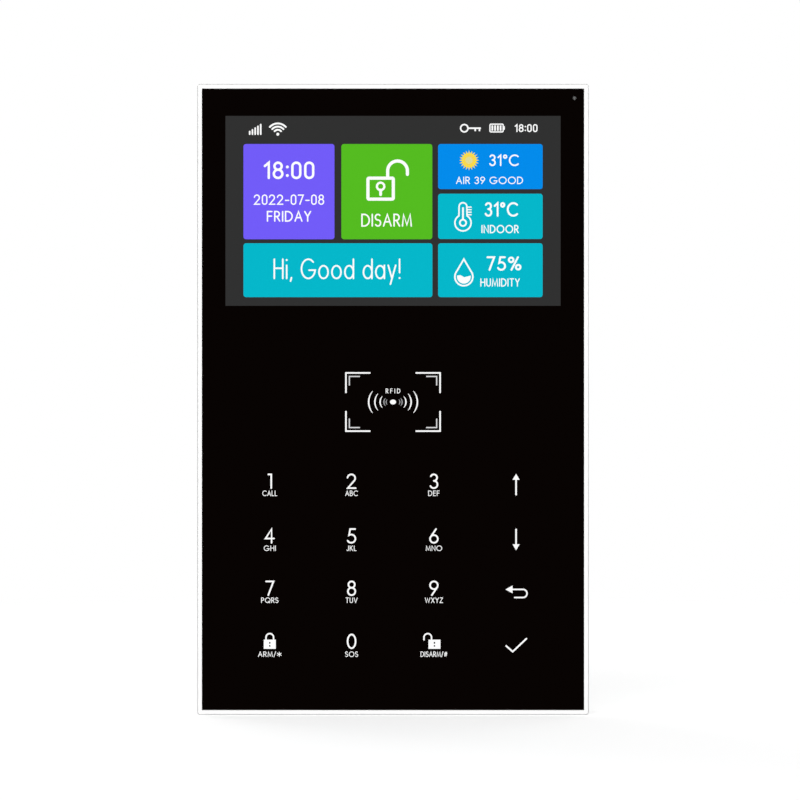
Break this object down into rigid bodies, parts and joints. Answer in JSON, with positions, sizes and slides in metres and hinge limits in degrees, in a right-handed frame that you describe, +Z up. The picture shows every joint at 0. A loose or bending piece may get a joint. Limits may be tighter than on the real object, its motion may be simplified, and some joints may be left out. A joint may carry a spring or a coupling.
{
  "type": "alarm keypad panel",
  "caption": "Slim wall-hung alarm control panel with a colour display over a field of touch keys behind one sheet of black glass, on a steel hook bracket.",
  "frame": {"origin": "on the wall plane, at the middle of the bracket's back face, which is also the middle of the case", "axes": "+X to the viewer's right, +Y into the wall, +Z up along the long side"},
  "size_m": [0.111, 0.019, 0.1788],
  "materials": {
    "steel_plate": "satin zinc-plated pressed steel",
    "white_plastic": "fine-textured moulded ABS",
    "cover_plastic": "spark-textured moulded ABS",
    "black_rubber": "matte moulded rubber",
    "clear_glass": "polished toughened glass",
    "black_ink": "screen-printed ink film",
    "black_tape": "foam adhesive tape",
    "bezel_steel": "satin folded sheet",
    "display_glass": "polarised panel",
    "backlight_white": "moulded light guide",
    "flex_amber": "polyimide flex",
    "diffuser_milk": "milky polycarbonate film",
    "board_black": "black solder mask on glass-epoxy",
    "board_green": "green solder mask on glass-epoxy",
    "bare_copper": "gold-flashed copper foil",
    "led_white": "white package with phosphor",
    "chip_black": "moulded epoxy",
    "shield_tin": "tinned sheet",
    "coil_wire": "plated spring wire",
    "connector_white": "moulded nylon",
    "capacitor_can": "drawn can",
    "relay_case": "moulded case",
    "black_plastic": "moulded plastic",
    "terminal_green": "moulded polyamide",
    "plated_screw": "zinc-plated steel",
    "foam_grey": "closed-cell foam",
    "battery_foil": "laminated foil pouch",
    "lead_red": "insulated wire",
    "speaker_paper": "coated cone",
    "magnet_steel": "plated magnet cup",
    "insert_brass": "knurled insert",
    "spring_steel": "drawn spring wire",
    "metal_shell": "stamped shell",
    "card_white": "laminated card"
  },
  "bodies": {
    "bracket": {"wall_bracket": "steel_plate"},
    "panel": {"front_shell": "white_plastic", "rear_cover": "cover_plastic", "wall_bumpers": "black_rubber", "cover_glass": "clear_glass", "printed_mask": "black_ink", "glass_tape": "black_tape", "lcd_bezel": "bezel_steel", "lcd_panel": "display_glass", "lcd_backlight": "backlight_white", "lcd_flex": "flex_amber", "key_diffuser": "diffuser_milk", "touch_board": "board_black", "touch_electrodes": "bare_copper", "key_leds": "led_white", "touch_controller": "chip_black", "touch_flex": "flex_amber", "tag_reader_board": "board_green", "tag_reader_coil": "bare_copper", "main_board": "board_green", "chips": "chip_black", "inductors": "chip_black", "radio_module": "shield_tin", "cellular_module": "shield_tin", "low_radio_board": "board_black", "low_radio_antenna": "coil_wire", "board_connectors": "connector_white", "capacitors": "capacitor_can", "relay": "relay_case", "buzzer": "black_plastic", "microphone": "shield_tin", "microphone_boot": "black_rubber", "microphone_flex": "flex_amber", "power_inlet": "metal_shell", "terminal_block": "terminal_green", "terminal_screws": "plated_screw", "battery_pad": "foam_grey", "battery_pack": "battery_foil", "battery_leads": "lead_red", "battery_plug": "connector_white", "speaker_frame": "black_plastic", "speaker_cone": "speaker_paper", "speaker_magnet": "magnet_steel", "speaker_gasket": "foam_grey", "speaker_leads": "lead_red", "speaker_plug": "connector_white", "cellular_antenna": "flex_amber", "antenna_lead": "black_plastic", "case_screws": "plated_screw", "board_screws": "plated_screw", "threaded_inserts": "insert_brass", "power_switch_body": "metal_shell", "tamper_switch_body": "black_plastic", "tamper_spring": "spring_steel", "reset_switch": "black_plastic", "sim_holder": "metal_shell"},
    "power_switch": {"power_switch_lever": "black_plastic"},
    "tamper_plunger": {"tamper_plunger": "white_plastic"},
    "reset_button": {"reset_button": "white_plastic"},
    "sim_card": {"sim_card": "card_white"}
  },
  "joints": [
    {"name": "panel_lift", "type": "slide", "parent": "bracket", "child": "panel", "axis": [0, 0, 1], "range_m": [0, 0.008]},
    {"name": "power_switch_slide", "type": "slide", "parent": "panel", "child": "power_switch", "axis": [1, 0, 0], "range_m": [0, 0.003]},
    {"name": "tamper_press", "type": "slide", "parent": "panel", "child": "tamper_plunger", "axis": [0, -1, 0], "range_m": [0, 0.0015], "stiffness_N_per_m": 300, "deforming": ["tamper_spring"]},
    {"name": "reset_press", "type": "slide", "parent": "panel", "child": "reset_button", "axis": [0, -1, 0], "range_m": [0, 0.0003], "stiffness_N_per_m": 500},
    {"name": "sim_slide", "type": "slide", "parent": "panel", "child": "sim_card", "axis": [0, 0, -1], "range_m": [0, 0.015]}
  ]
}
